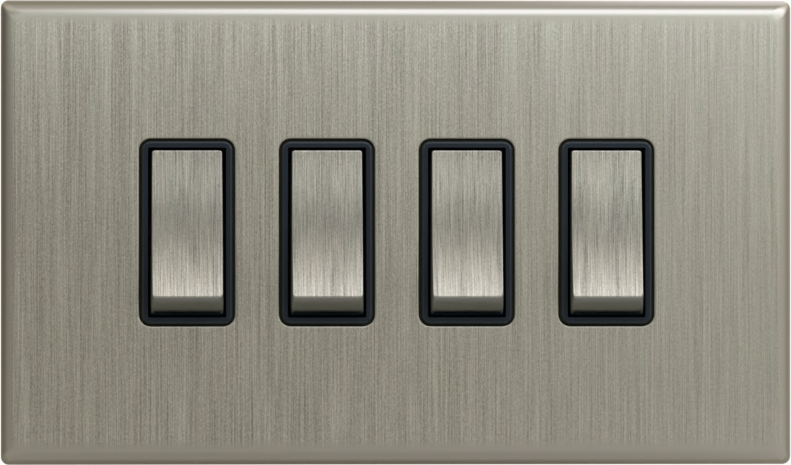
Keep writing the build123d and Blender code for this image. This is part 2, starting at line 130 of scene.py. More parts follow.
# How far roughness swings to either side of its mean, along strokes, over mouldings and over clouds
STROKE_GLOSS = 0.07
MOULDED_GLOSS = 0.08
CLOUD_GLOSS = 0.1

# Sockets of a Mix node: the share, the two numbers or two colours that it mixes, and the mixed colour
SHARE = 0
NUMBER_A, NUMBER_B = 2, 3
COLOUR_A, COLOUR_B = 6, 7
MIXED_COLOUR = 2


def linear(code):
    """An sRGB hex colour as linear RGBA."""
    levels = [int(code[i:i + 2], 16) / 255 for i in (1, 3, 5)]
    return [v / 12.92 if v <= 0.04045 else ((v + 0.055) / 1.055) ** 2.4 for v in levels] + [1.0]


def add(tree, kind, sockets=None, **settings):
    """Add a node with its settings; a socket takes a value, or another node's output as a link."""
    made = tree.nodes.new(kind)
    for name, value in settings.items():
        setattr(made, name, value)
    for name, value in (sockets or {}).items():
        if isinstance(value, bpy.types.NodeSocket):
            tree.links.new(value, made.inputs[name])
        else:
            made.inputs[name].default_value = value
    return made


def new_material(name):
    """An empty node material and its tree."""
    material = bpy.data.materials.new(name)
    material.use_nodes = True
    material.node_tree.nodes.clear()
    return material, material.node_tree


def per_size(across, deep, tall):
    """Scale of a pattern on Object coordinates, from the real size of one mark in millimetres."""
    return (1 / (across * MM), 1 / (deep * MM), 1 / (tall * MM))


# Satin nickel on pressed steel: fine upright scratches where it is brushed, which spread reflections
# sideways, and a smoother unbrushed skin on rolled edges, sides and ends, whose darker, browner colour is
# painted shade where these turn away from the light. Real scratches are about 0.05 mm wide, too fine to
# show, so they are drawn about four times as wide.
def satin_nickel(name, dark, light, edge, stroke_mm, fade, grit_share, brushed_rough, plain_rough, spread):
    material, tree = new_material(name)
    place = add(tree, "ShaderNodeTexCoord").outputs["Object"]
    position = add(tree, "ShaderNodeSeparateXYZ", {"Vector": place}).outputs

    # Scratches: single strokes, the broader passes of the belt, and specks from its grit
    stroke_scale = per_size(across=0.21, deep=6.0, tall=stroke_mm)
    stroke_place = add(tree, "ShaderNodeMapping", {"Vector": place, "Scale": stroke_scale})
    strokes = add(
        tree,
        "ShaderNodeTexNoise",
        {"Vector": stroke_place.outputs[0], "Scale": 1.0, "Detail": 3.0, "Roughness": 0.75},
    )
    pass_scale = per_size(across=2.4, deep=20.0, tall=90.0)
    pass_place = add(tree, "ShaderNodeMapping", {"Vector": place, "Scale": pass_scale})
    passes = add(
        tree, "ShaderNodeTexNoise", {"Vector": pass_place.outputs[0], "Scale": 1.0, "Detail": 1.0}
    )
    grit_scale = per_size(across=0.14, deep=0.4, tall=0.4)
    grit_place = add(tree, "ShaderNodeMapping", {"Vector": place, "Scale": grit_scale})
    grit = add(
        tree, "ShaderNodeTexNoise", {"Vector": grit_place.outputs[0], "Scale": 1.0, "Detail": 0.0}
    )
    lines = add(
        tree,
        "ShaderNodeMix",
        {SHARE: 0.12, NUMBER_A: strokes.outputs["Fac"], NUMBER_B: passes.outputs["Fac"]},
        data_type="FLOAT",
    )
    scratches = add(
        tree,
        "ShaderNodeMix",
        {SHARE: grit_share, NUMBER_A: lines.outputs[0], NUMBER_B: grit.outputs["Fac"]},
        data_type="FLOAT",
    )
    depth = add(
        tree, "ShaderNodeMapRange", {"Value": scratches.outputs[0], "From Min": 0.3, "From Max": 0.64}
    )

    # How far each point is worked: not on rolls, sides and ends, and less towards the plate's right side
    brushed_share = add(tree, "ShaderNodeAttribute", attribute_name=BRUSHED_SHARE).outputs["Fac"]
    on_flat = add(tree, "ShaderNodeMapRange", {"Value": brushed_share, "From Min": 0.7})
    from_middle = add(tree, "ShaderNodeMath", {0: position["Z"]}, operation="ABSOLUTE")
    before_rolls = add(
        tree,
        "ShaderNodeMapRange",
        {
            "Value": from_middle.outputs[0],
            "From Min": PLATE_HEIGHT / 2 - EDGE_ROLL - STROKE_FADE,
            "From Max": PLATE_HEIGHT / 2 - EDGE_ROLL,
            "To Min": 1.0,
            "To Max": 0.0,
        },
    )
    stroked = add(
        tree, "ShaderNodeMath", {0: on_flat.outputs[0], 1: before_rolls.outputs[0]}, operation="MULTIPLY"
    )
    pressure = add(
        tree,
        "ShaderNodeMapRange",
        {
            "Value": position["X"],
            "From Min": 0.0,
            "From Max": plate_high.x,
            "To Min": 1.0,
            "To Max": 1 - fade,
        },
    )
    worked = add(
        tree, "ShaderNodeMath", {0: stroked.outputs[0], 1: pressure.outputs[0]}, operation="MULTIPLY"
    )

    # Colour: dark and light scratches with a faint cast, and where none are, the darker, browner edge colour,
    # which is painted shade on rolls, sides and ends
    tone = add(
        tree,
        "ShaderNodeMix",
        {SHARE: worked.outputs[0], NUMBER_A: UNBRUSHED_TONE, NUMBER_B: depth.outputs[0]},
        data_type="FLOAT",
    )
    brushed = add(
        tree,
        "ShaderNodeMix",
        {SHARE: tone.outputs[0], COLOUR_A: linear(dark), COLOUR_B: linear(light)},
        data_type="RGBA",
    )
    cast_scale = per_size(across=0.4, deep=9.0, tall=6.0)
    cast_place = add(tree, "ShaderNodeMapping", {"Vector": place, "Scale": cast_scale})
    casts = add(
        tree, "ShaderNodeTexNoise", {"Vector": cast_place.outputs[0], "Scale": 1.0, "Detail": 1.0}
    )
    cast = add(
        tree, "ShaderNodeMapRange", {"Value": casts.outputs["Fac"], "From Min": 0.3, "From Max": 0.7}
    )
    tint = add(
        tree,
        "ShaderNodeMix",
        {SHARE: cast.outputs[0], COLOUR_A: linear(PINK_CAST), COLOUR_B: linear(GREEN_CAST)},
        data_type="RGBA",
    )
    tinted = add(
        tree,
        "ShaderNodeMix",
        {SHARE: 1.0, COLOUR_A: brushed.outputs[MIXED_COLOUR], COLOUR_B: tint.outputs[MIXED_COLOUR]},
        data_type="RGBA",
        blend_type="MULTIPLY",
    )
    # The edge colour takes over as the surface turns away from the front: painted shade
    reach = add(tree, "ShaderNodeMapRange", {"Value": brushed_share, "From Max": 0.45})
    colour = add(
        tree,
        "ShaderNodeMix",
        {SHARE: reach.outputs[0], COLOUR_A: linear(edge), COLOUR_B: tinted.outputs[MIXED_COLOUR]},
        data_type="RGBA",
    )

    # Gloss and relief follow the strokes
    scratched = add(
        tree,
        "ShaderNodeMapRange",
        {
            "Value": lines.outputs[0],
            "To Min": brushed_rough + STROKE_GLOSS,
            "To Max": brushed_rough - STROKE_GLOSS,
        },
    )
    rough = add(
        tree,
        "ShaderNodeMix",
        {SHARE: stroked.outputs[0], NUMBER_A: plain_rough, NUMBER_B: scratched.outputs[0]},
        data_type="FLOAT",
    )
    relief = add(tree, "ShaderNodeMath", {0: stroked.outputs[0], 1: STROKE_RELIEF}, operation="MULTIPLY")
    bump = add(
        tree,
        "ShaderNodeBump",
        {"Height": lines.outputs[0], "Strength": relief.outputs[0], "Distance": 0.004 * MM},
    )
    grain = add(tree, "ShaderNodeTangent", direction_type="UV_MAP", uv_map=GRAIN_MAP)
    shader = add(
        tree,
        "ShaderNodeBsdfPrincipled",
        {
            "Base Color": colour.outputs[MIXED_COLOUR],
            "Metallic": 1.0,
            "Roughness": rough.outputs[0],
            "Anisotropic": spread,
            "Tangent": grain.outputs[0],
            "Normal": bump.outputs[0],
        },
    )
    add(tree, "ShaderNodeOutputMaterial", {"Surface": shader.outputs[0]})
    return material


# Moulded plastic with a spark-eroded skin: a fine dull grain, with broad and faint changes of gloss
def moulded(name, dark, light, roughness, shine, grain_mm):
    material, tree = new_material(name)
    place = add(tree, "ShaderNodeTexCoord").outputs["Object"]
    grain_scale = per_size(across=grain_mm, deep=grain_mm, tall=grain_mm)
    grain_place = add(tree, "ShaderNodeMapping", {"Vector": place, "Scale": grain_scale})
    grain = add(
        tree, "ShaderNodeTexNoise", {"Vector": grain_place.outputs[0], "Scale": 1.0, "Detail": 2.0}
    )
    flow_scale = per_size(across=9.0, deep=9.0, tall=9.0)
    flow_place = add(tree, "ShaderNodeMapping", {"Vector": place, "Scale": flow_scale})
    flow = add(
        tree, "ShaderNodeTexNoise", {"Vector": flow_place.outputs[0], "Scale": 1.0, "Detail": 2.0}
    )
    mottle = add(
        tree,
        "ShaderNodeMix",
        {SHARE: 0.4, NUMBER_A: grain.outputs["Fac"], NUMBER_B: flow.outputs["Fac"]},
        data_type="FLOAT",
    )
    colour = add(
        tree,
        "ShaderNodeMix",
        {SHARE: mottle.outputs[0], COLOUR_A: linear(dark), COLOUR_B: linear(light)},
        data_type="RGBA",
    )
    rough = add(
        tree,
        "ShaderNodeMapRange",
        {
            "Value": flow.outputs["Fac"],
            "To Min": roughness - MOULDED_GLOSS,
            "To Max": roughness + MOULDED_GLOSS,
        },
    )
    bump = add(
        tree, "ShaderNodeBump", {"Height": grain.outputs["Fac"], "Strength": 0.35, "Distance": 0.02 * MM}
    )
    shader = add(
        tree,
        "ShaderNodeBsdfPrincipled",
        {
            "Base Color": colour.outputs[MIXED_COLOUR],
            "Roughness": rough.outputs[0],
            "Specular IOR Level": shine,
            "Normal": bump.outputs[0],
        },
    )
    add(tree, "ShaderNodeOutputMaterial", {"Surface": shader.outputs[0]})
    return material


# Bare or plated metal of the hidden pieces: cloudy tint and gloss, with marks of the tool that made it
def plain_metal(name, dark, light, roughness, cloud_mm, mark_sizes_mm):
    material, tree = new_material(name)
    place = add(tree, "ShaderNodeTexCoord").outputs["Object"]
    cloud_scale = per_size(across=cloud_mm, deep=cloud_mm, tall=cloud_mm)
    cloud_place = add(tree, "ShaderNodeMapping", {"Vector": place, "Scale": cloud_scale})
    clouds = add(
        tree, "ShaderNodeTexNoise", {"Vector": cloud_place.outputs[0], "Scale": 1.0, "Detail": 4.0}
    )
    mark_place = add(tree, "ShaderNodeMapping", {"Vector": place, "Scale": per_size(*mark_sizes_mm)})
    marks = add(
        tree, "ShaderNodeTexNoise", {"Vector": mark_place.outputs[0], "Scale": 1.0, "Detail": 2.0}
    )
    mottle = add(
        tree,
        "ShaderNodeMix",
        {SHARE: 0.5, NUMBER_A: clouds.outputs["Fac"], NUMBER_B: marks.outputs["Fac"]},
        data_type="FLOAT",
    )
    tone = add(
        tree, "ShaderNodeMapRange", {"Value": mottle.outputs[0], "From Min": 0.3, "From Max": 0.7}
    )
    colour = add(
        tree,
        "ShaderNodeMix",
        {SHARE: tone.outputs[0], COLOUR_A: linear(dark), COLOUR_B: linear(light)},
        data_type="RGBA",
    )
    rough = add(
        tree,
        "ShaderNodeMapRange",
        {
            "Value": clouds.outputs["Fac"],
            "To Min": roughness - CLOUD_GLOSS,
            "To Max": roughness + CLOUD_GLOSS,
        },
    )
    bump = add(
        tree, "ShaderNodeBump", {"Height": marks.outputs["Fac"], "Strength": 0.2, "Distance": 0.01 * MM}
    )
    shader = add(
        tree,
        "ShaderNodeBsdfPrincipled",
        {
            "Base Color": colour.outputs[MIXED_COLOUR],
            "Metallic": 1.0,
            "Roughness": rough.outputs[0],
            "Normal": bump.outputs[0],
        },
    )
    add(tree, "ShaderNodeOutputMaterial", {"Surface": shader.outputs[0]})
    return material


# Plate: long strokes, worked less to the right, on warm grey metal; the darker, browner colour of the rolls is
# painted shade
PLATE_NICKEL = satin_nickel(
    "satin_nickel_plate",
    dark="#888073",
    light="#DBD8C8",
    # Rolls: darker and browner than the face, painted shade
    edge="#A79F8C",
    stroke_mm=24.0,
    fade=0.42,
    grit_share=0.28,
    brushed_rough=0.37,
    plain_rough=0.32,
    spread=0.6,
)

# Caps: shorter and stronger strokes on smoother metal, so that the dish shows as bands of light and shade
CAP_NICKEL = satin_nickel(
    "satin_nickel_cap",
    dark="#726F65",
    light="#DCD7C8",
    # Sides and ends: darker than the face, painted shade
    edge="#9A9C94",
    stroke_mm=12.0,
    fade=0.0,
    grit_share=0.18,
    brushed_rough=0.3,
    plain_rough=0.3,
    spread=0.85,
)

# Black ABS on bezels, rocker bodies and clip ring: blue-black with a soft sheen
BLACK = moulded(
    "black_abs_moulded", dark="#08141C", light="#0D1E29", roughness=0.45, shine=0.3, grain_mm=0.25
)

# The same on the bezel's rim, where the mould is polished: a brighter line round the window
BLACK_EDGE = moulded(
    "black_abs_polished", dark="#08141C", light="#0D1E29", roughness=0.35, shine=0.52, grain_mm=0.25
)

# The same with a matt skin, in the wells and behind the rims, coloured a lighter olive grey than the black:
# painted light that stands in for the dim light reaching into the deep wells
MATT_BLACK_PAINTED_LIGHT = moulded(
    "black_abs_matt_painted_light", dark="#2E3122", light="#3C4030", roughness=0.8, shine=0.25, grain_mm=0.3
)

# Thermoset of the bases: dark grey and even
THERMOSET = moulded(
    "grey_thermoset_moulded", dark="#2B2C2E", light="#3B3C3F", roughness=0.5, shine=0.5, grain_mm=0.35
)

# Undyed nylon of the plungers: milky, with a slight gloss
NYLON = moulded(
    "natural_nylon_moulded", dark="#D2CFC2", light="#E4E1D6", roughness=0.4, shine=0.5, grain_mm=0.4
)

# Zinc plating on the pressed support frame: cloudy grey with upright rolling marks
ZINC = plain_metal(
    "zinc_plated_steel_pressed",
    dark="#A4A7AB",
    light="#CDD0D3",
    roughness=0.34,
    cloud_mm=5.0,
    mark_sizes_mm=(0.5, 0.5, 4.0),
)

# Brass of the terminals and blades: warm, with sideways drawing marks
BRASS = plain_metal(
    "brass_extruded",
    dark="#B08A45",
    light="#D6B56C",
    roughness=0.3,
    cloud_mm=2.5,
    mark_sizes_mm=(3.0, 0.3, 0.3),
)

# Zinc plating on the turned screws: pale and a little yellow, with fine tool marks
SCREW_STEEL = plain_metal(
    "zinc_plated_steel_turned",
    dark="#B2AD9C",
    light="#D5D1C2",
    roughness=0.28,
    cloud_mm=1.5,
    mark_sizes_mm=(0.2, 0.4, 0.2),
)

# Bare spring wire: darker and even
SPRING_STEEL = plain_metal(
    "spring_steel_drawn",
    dark="#84868A",
    light="#A9ABAF",
    roughness=0.3,
    cloud_mm=1.0,
    mark_sizes_mm=(0.4, 0.4, 0.4),
)

SLOT_MATERIALS = {
    "satin_nickel": PLATE_NICKEL,
    "black_moulding": BLACK,
    "grey_moulding": THERMOSET,
    "zinc_steel": ZINC,
    "brass": BRASS,
    "plated_steel": SCREW_STEEL,
    "spring_steel": SPRING_STEEL,
    "pale_nylon": NYLON,
}
node_slots = {part["node"]: part["material_slot"] for part in frame["record"]["subparts"]}
bodies = frame["record"]["behaviour"]["bodies"]
node_bodies = {node: body for body, nodes in bodies.items() for node in nodes}


def finish_piece(bm, name, node, materials=()):
    """Make the mesh a piece that stands for a CAD node, on its body and with its finish."""
    bmesh.ops.remove_doubles(bm, verts=bm.verts, dist=MERGE)
    mesh = bpy.data.meshes.new(name)
    bm.to_mesh(mesh)
    bm.free()
    mesh.shade_smooth()
    mesh.set_sharp_from_angle(angle=SHARP)
    for material in materials or [SLOT_MATERIALS[node_slots[node]]]:
        mesh.materials.append(material)
    piece = bpy.data.objects.new(name, mesh)
    bpy.context.scene.collection.objects.link(piece)
    flats = piece.modifiers.new("flat_faces_stay_flat", "WEIGHTED_NORMAL")
    flats.keep_sharp = True
    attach(piece, node_bodies[node])
    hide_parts(node)


def soften(bm, edges, width, steps):
    """Round these edges."""
    bmesh.ops.bevel(
        bm,
        geom=edges,
        offset=width,
        offset_type="OFFSET",
        affect="EDGES",
        segments=steps,
        profile=0.5,
        clamp_overlap=True,
        material=-1,
    )


def sharp_edges(bm):
    """The edges at which two faces meet at a clear angle."""
    return [edge for edge in bm.edges if edge.is_manifold and edge.calc_face_angle() > SHARP]


def copy_of(node):
    """A CAD piece as one joined mesh with whole flat faces."""
    bm = bmesh.new()
    bm.from_mesh(frame["nodes"][node].data)
    bmesh.ops.remove_doubles(bm, verts=bm.verts, dist=MERGE)
    bmesh.ops.dissolve_limit(bm, angle_limit=FLAT, verts=bm.verts, edges=bm.edges)
    return bm


def map_grain(bm, facing, along):
    """Lay a map whose first axis runs across the brush marks, and note how far each point is brushed."""
    grain = bm.loops.layers.uv.new(GRAIN_MAP)
    for face in bm.faces:
        for corner in face.loops:
            corner[grain].uv = (corner.vert.co.x / MM, corner.vert.co.dot(along) / MM)
    share = bm.verts.layers.float.new(BRUSHED_SHARE)
    for vert in bm.verts:
        nearest = min(face.normal.angle(facing) for face in vert.link_faces)
        vert[share] = max(0.0, 1 - max(0.0, nearest - BRUSH_START) / (BRUSH_END - BRUSH_START))


def outline(bm, width, height, corner, forward, x=0.0):
    """Edges of a rectangle with round corners, that far forward of the wall and centred on x."""
    upright = Matrix.Rotation(pi / 2, 4, "X")
    place = Matrix.Translation((x, -forward, 0)) @ upright @ Matrix.Diagonal((width, height, 1, 1))
    corners = bmesh.ops.create_grid(bm, x_segments=1, y_segments=1, size=0.5, matrix=place)["verts"]
    rounded = bmesh.ops.bevel(
        bm,
        geom=corners,
        offset=corner,
        offset_type="OFFSET",
        affect="VERTICES",
        segments=ARC_STEPS,
        profile=0.5,
        material=-1,
    )
    face = rounded["verts"][0].link_faces[0]
    edges = list(face.edges)
    bmesh.ops.delete(bm, geom=[face], context="FACES_ONLY")
    return edges


def rolled_skin(bm, width, height, front, roll, corner):
    """One side of the pressed sheet, a straight rim that rolls over to the front, as its end outlines."""
    stations = [(0.0, 0.0)]
    for step in range(ROLL_STEPS + 1):
        turned = pi / 2 * step / ROLL_STEPS
        stations.append((roll * (1 - cos(turned)), front - roll + roll * sin(turned)))
    outlines = [
        outline(bm, width - 2 * into, height - 2 * into, corner, forward) for into, forward in stations
    ]
    for lower, upper in zip(outlines, outlines[1:]):
        bmesh.ops.bridge_loops(bm, edges=lower + upper)
    return outlines[0], outlines[-1]


def cut_pry_notch(bm):
    """Open a notch in the lower wall of the plate, and close its ends and its root across the sheet."""
    inner_wall = SHEET - PLATE_HEIGHT / 2
    for place, across in (
        ((-NOTCH_WIDTH / 2, 0, 0), (1, 0, 0)),
        ((NOTCH_WIDTH / 2, 0, 0), (1, 0, 0)),
        ((0, -NOTCH_DEPTH, 0), (0, 1, 0)),
    ):
        wall = [f for f in bm.faces if all(v.co.z < inner_wall + MERGE for v in f.verts)]
        around = {g for f in wall for g in (*f.verts, *f.edges)}
        bmesh.ops.bisect_plane(bm, geom=[*wall, *around], dist=MERGE, plane_co=place, plane_no=across)
    notch = []
    for face in bm.faces:
        middle = face.calc_center_median()
        if middle.z < inner_wall + MERGE and abs(middle.x) < NOTCH_WIDTH / 2 and middle.y > -NOTCH_DEPTH:
            notch.append(face)
    bmesh.ops.delete(bm, geom=notch, context="FACES")
    cut = [edge for edge in bm.edges if edge.is_boundary]
    outer = [edge for edge in cut if all(v.co.z < inner_wall - MERGE for v in edge.verts)]
    inner = [edge for edge in cut if all(v.co.z > inner_wall - MERGE for v in edge.verts)]
    bmesh.ops.bridge_loops(bm, edges=outer + inner)


# Front plate: pressed sheet with rolled edges, and windows whose edges are eased
def front_plate():
    bm = bmesh.new()
    outer_rim, front_edge = rolled_skin(
        bm, PLATE_WIDTH, PLATE_HEIGHT, PLATE_FRONT, EDGE_ROLL, PLATE_CORNER
    )
    inner_rim, back_edge = rolled_skin(
        bm,
        PLATE_WIDTH - 2 * SHEET,
        PLATE_HEIGHT - 2 * SHEET,
        PLATE_FRONT - SHEET,
        EDGE_ROLL - SHEET,
        PLATE_CORNER - SHEET / 2,
    )
    bmesh.ops.triangle_fill(bm, edges=outer_rim + inner_rim, use_beauty=True, normal=(0, 1, 0))
    window_levels = []
    for step in range(WINDOW_STEPS + 1):
        turned = WINDOW_TURN * step / WINDOW_STEPS
        out = WINDOW_ROLL * (sin(WINDOW_TURN) - sin(turned))
        back = WINDOW_ROLL * (1 - cos(turned))
        window_levels.append((out, PLATE_FRONT - back))
    window_levels.append((0.0, PLATE_FRONT - SHEET))
    for pivot in pivots:
        window = []
        for out, forward in window_levels:
            width = WINDOW_WIDTH + 2 * out
            height = WINDOW_HEIGHT + 2 * out
            window.append(outline(bm, width, height, WINDOW_CORNER + out, forward, pivot.x))
        for upper, lower in zip(window, window[1:]):
            bmesh.ops.bridge_loops(bm, edges=upper + lower)
        front_edge += window[0]
        back_edge += window[-1]
    bmesh.ops.triangle_fill(bm, edges=front_edge, use_beauty=True, normal=(0, -1, 0))
    bmesh.ops.triangle_fill(bm, edges=back_edge, use_beauty=True, normal=(0, 1, 0))
    cut_pry_notch(bm)
    bmesh.ops.recalc_face_normals(bm, faces=bm.faces)
    map_grain(bm, facing=Vector((0, -1, 0)), along=Vector((0, 0, 1)))
    finish_piece(bm, "brushed_plate", "front_plate")


def cap_block(bm):
    """The cap's outside, open at its foot, with y along the rocker and z up from the pivot."""
    end_radius = hypot(CAP_HALF_LENGTH, CAP_RISE)
    dish_radius = (CAP_HALF_LENGTH**2 + CAP_DISH**2) / (2 * CAP_DISH)
    dish_turn = 2 * asin(CAP_HALF_LENGTH / dish_radius)
    end_turn = atan2(CAP_RISE, CAP_HALF_LENGTH) - asin(CAP_FOOT / end_radius)
    pivot = (0, 0, 0)
    dish_centre = (0, 0, CAP_RISE - CAP_DISH + dish_radius)
    across = (1, 0, 0)
    upper = bm.verts.new((-CAP_WIDTH / 2, CAP_HALF_LENGTH, CAP_RISE))
    dish = bmesh.ops.spin(
        bm, geom=[upper], cent=dish_centre, axis=across, angle=-dish_turn, steps=DISH_STEPS
    )
    lower = [v for v in dish["geom_last"] if isinstance(v, bmesh.types.BMVert)][0]
    bmesh.ops.spin(bm, geom=[upper], cent=pivot, axis=across, angle=-end_turn, steps=END_STEPS)
    bmesh.ops.spin(bm, geom=[lower], cent=pivot, axis=across, angle=end_turn, steps=END_STEPS)
    section = list(bm.edges)
    grown = bmesh.ops.extrude_edge_only(bm, edges=section)["geom"]
    far = [v for v in grown if isinstance(v, bmesh.types.BMVert)]
    bmesh.ops.translate(bm, verts=far, vec=(CAP_WIDTH, 0, 0))
    new_edges = [e for e in grown if isinstance(e, bmesh.types.BMEdge)]
    far_section = [e for e in new_edges if all(v in far for v in e.verts)]
    for side in (section, far_section):
        feet = [v for e in side for v in e.verts if abs(v.co.z - CAP_FOOT) < MERGE]
        bmesh.ops.edgeloop_fill(bm, edges=side + [bm.edges.new(feet)])
    for vert in bm.verts:
        vert.co.x -= (vert.co.z - CAP_FOOT) * tan(CAP_DRAFT) * (1 if vert.co.x > 0 else -1)
    bmesh.ops.remove_doubles(bm, verts=bm.verts, dist=MERGE)
    bmesh.ops.recalc_face_normals(bm, faces=bm.faces)


# Rocker cap: dished face, ends round the pivot and drafted sides, as a shell over the moulded dolly
def rocker_cap(gang, pivot):
    bm = bmesh.new()
    cap_block(bm)
    corners = [e for e in sharp_edges(bm) if abs(e.verts[0].co.x - e.verts[1].co.x) < CAP_WIDTH / 2]
    ends = [e for e in corners if max(abs(v.co.y) for v in e.verts) > CAP_HALF_LENGTH + MERGE]
    lining = bmesh.ops.solidify(bm, geom=bm.faces, thickness=CAP_WALL)["geom"]
    for face in lining:
        if isinstance(face, bmesh.types.BMFace):
            face.material_index = 1
    soften(bm, ends, CAP_CORNER, CORNER_STEPS)
    outside = [e for e in sharp_edges(bm) if not any(f.material_index for f in e.link_faces)]
    rim = [e for e in outside if min(v.co.z for v in e.verts) > CAP_RISE - CAP_DISH - MERGE]
    soften(bm, rim, CAP_EDGE, EDGE_STEPS)
    for face in bm.faces:
        face.material_index = 0
    turned = Matrix((
        (1, 0, 0, pivot.x),
        (0, sin(CAP_LEAN), -cos(CAP_LEAN), pivot.y),
        (0, cos(CAP_LEAN), sin(CAP_LEAN), pivot.z),
        (0, 0, 0, 1),
    ))
    bmesh.ops.transform(bm, matrix=turned, verts=bm.verts)
    map_grain(bm, facing=turned.col[2].xyz, along=turned.col[1].xyz)
    finish_piece(bm, f"brushed_cap_{gang}", f"rocker_cap_{gang}", [CAP_NICKEL])


# Surround: the bezel's outer rim is round and polished, the corners of its opening are round, and the well
# behind it is matt, with painted light in its lighter colour
def surround(gang, pivot):
    node = f"surround_{gang}"
    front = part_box(node)[0].y
    bm = copy_of(node)

    def front_edges():
        return [e for e in sharp_edges(bm) if all(v.co.y < front + MERGE for v in e.verts)]

    def on_outside(point):
        return abs(point.x - pivot.x) > outer_x or abs(point.z - pivot.z) > outer_z

    corners = []
    for edge in sharp_edges(bm):
        first, last = edge.verts
        straight_back = abs(first.co.x - last.co.x) < MERGE and abs(first.co.z - last.co.z) < MERGE
        if straight_back and min(first.co.y, last.co.y) < front + MERGE:
            corners.append(edge)
    soften(bm, corners, OPENING_CORNER, EDGE_STEPS)
    outer_x = max(v.co.x for e in front_edges() for v in e.verts) - pivot.x - BEZEL_BAND / 2
    outer_z = max(v.co.z for e in front_edges() for v in e.verts) - pivot.z - BEZEL_BAND / 2
    rim = [e for e in front_edges() if all(on_outside(v.co) for v in e.verts)]
    soften(bm, rim, BEZEL_RIM, CORNER_STEPS)
    soften(bm, front_edges(), BEZEL_EDGE, EDGE_STEPS)
    finishes = [BLACK, BLACK_EDGE, MATT_BLACK_PAINTED_LIGHT]
    for face in bm.faces:
        middle = face.calc_center_median()
        # Wells and the faces behind the rims: the lighter matt black, painted light
        if middle.y > front + BEZEL_RIM:
            face.material_index = finishes.index(MATT_BLACK_PAINTED_LIGHT)
        elif middle.y > front + MERGE and on_outside(middle):
            face.material_index = finishes.index(BLACK_EDGE)
    finish_piece(bm, f"bezel_and_well_{gang}", node, finishes)


def softened_copy(name, node, width):
    """A CAD piece with all its edges eased."""
    bm = copy_of(node)
    soften(bm, sharp_edges(bm), width, EASED_STEPS)
    finish_piece(bm, name, node)


# Clamping screws: slotted, turned and a little domed at the rim
def clamp_screws(name, node, places):
    low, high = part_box(node)
    bm = bmesh.new()
    for x, z, radius in places:
        floor_middle = Matrix.Translation((x, high.y - SCREW_SLOT_DEPTH, z))
        slot_floor = floor_middle @ Matrix.Rotation(-pi / 2, 4, "X")
        disc = bmesh.ops.create_circle(
            bm, cap_ends=True, segments=SCREW_SIDES, radius=radius, matrix=slot_floor
        )["verts"]
        for side in (-1, 1):
            faces = {f for v in disc for f in v.link_faces}
            around = {g for f in faces for g in (f, *f.verts, *f.edges)}
            edge = (x, 0, z + side * SCREW_SLOT / 2)
            bmesh.ops.bisect_plane(bm, geom=list(around), dist=MERGE, plane_co=edge, plane_no=(0, 0, 1))
        faces = {f for v in disc for f in v.link_faces}
        lands = [f for f in faces if abs(f.calc_center_median().z - z) > SCREW_SLOT / 2]
        shank = bmesh.ops.extrude_face_region(bm, geom=list(faces), use_keep_orig=True)["geom"]
        tip = [v for v in shank if isinstance(v, bmesh.types.BMVert)]
        bmesh.ops.translate(bm, verts=tip, vec=(0, low.y - high.y + SCREW_SLOT_DEPTH, 0))
        head = bmesh.ops.extrude_face_region(bm, geom=lands)["geom"]
        bmesh.ops.delete(bm, geom=lands, context="FACES_ONLY")
        rim = [v for v in head if isinstance(v, bmesh.types.BMVert)]
        bmesh.ops.translate(bm, verts=rim, vec=(0, SCREW_SLOT_DEPTH, 0))
    bmesh.ops.recalc_face_normals(bm, faces=bm.faces)
    rims = [e for e in sharp_edges(bm) if all(v.co.y > high.y - MERGE for v in e.verts)]
    soften(bm, rims, SCREW_EDGE, EASED_STEPS)
    finish_piece(bm, name, node)


# Terminal marks: small raised letters on the back of each base, read from behind
def terminal_mark(name, letters, x, z, node):
    text = bpy.data.curves.new(name, "FONT")
    text.body = letters
    text.size = MARK_SIZE
    text.extrude = MARK_HEIGHT
    text.align_x = "CENTER"
    text.align_y = "CENTER"
    shape = bpy.data.objects.new(name, text)
    bm = bmesh.new()
    bm.from_mesh(shape.to_mesh())
    shape.to_mesh_clear()
    bpy.data.objects.remove(shape)
    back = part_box(node)[1].y
    place = Matrix(((-1, 0, 0, x), (0, 0, 1, back), (0, 1, 0, z), (0, 0, 0, 1)))
    bmesh.ops.transform(bm, matrix=place, verts=bm.verts)
    bmesh.ops.remove_doubles(bm, verts=bm.verts, dist=MERGE)
    bmesh.ops.recalc_face_normals(bm, faces=bm.faces)
    finish_piece(bm, name, node)


front_plate()
softened_copy("zinc_frame", "support_frame", PRESSED_EDGE)
softened_copy("clip_ring", "clip_frame", PRESSED_EDGE)
softened_copy("earth_pillar", "earth_terminal", CUT_EDGE)
earth_low, earth_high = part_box("earth_screw")
earth_middle = (earth_low + earth_high) / 2
earth_radius = earth_high.x - earth_middle.x
clamp_screws("earth_clamp", "earth_screw", [(earth_middle.x, earth_middle.z, earth_radius)])
for gang, pivot in enumerate(pivots, 1):
    base = f"base_{gang}"
    rocker_cap(gang, pivot)
    surround(gang, pivot)
    softened_copy(f"rear_moulding_{gang}", base, MOULDED_EDGE)
    softened_copy(f"rocker_body_{gang}", f"dolly_{gang}", CUT_EDGE)
    screws_low, screws_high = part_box(f"terminal_screws_{gang}")
    upper = screws_high.z - SCREW_RADIUS
    lower = screws_low.z + SCREW_RADIUS
    left = screws_low.x + SCREW_RADIUS
    right = screws_high.x - SCREW_RADIUS
    places = [(left, upper, SCREW_RADIUS), (right, upper, SCREW_RADIUS), (pivot.x, lower, SCREW_RADIUS)]
    clamp_screws(f"terminal_clamps_{gang}", f"terminal_screws_{gang}", places)
    terminal_mark(f"mark_common_{gang}", "COM", left, upper - MARK_DROP, base)
    terminal_mark(f"mark_way_two_{gang}", "L2", right, upper - MARK_DROP, base)
    terminal_mark(f"mark_way_one_{gang}", "L1", pivot.x, lower + MARK_DROP, base)

# Pieces that stay as they were modelled have the finishes of their slots too
for name, node in frame["nodes"].items():
    node.data.materials.clear()
    node.data.materials.append(SLOT_MATERIALS[node_slots[name]])

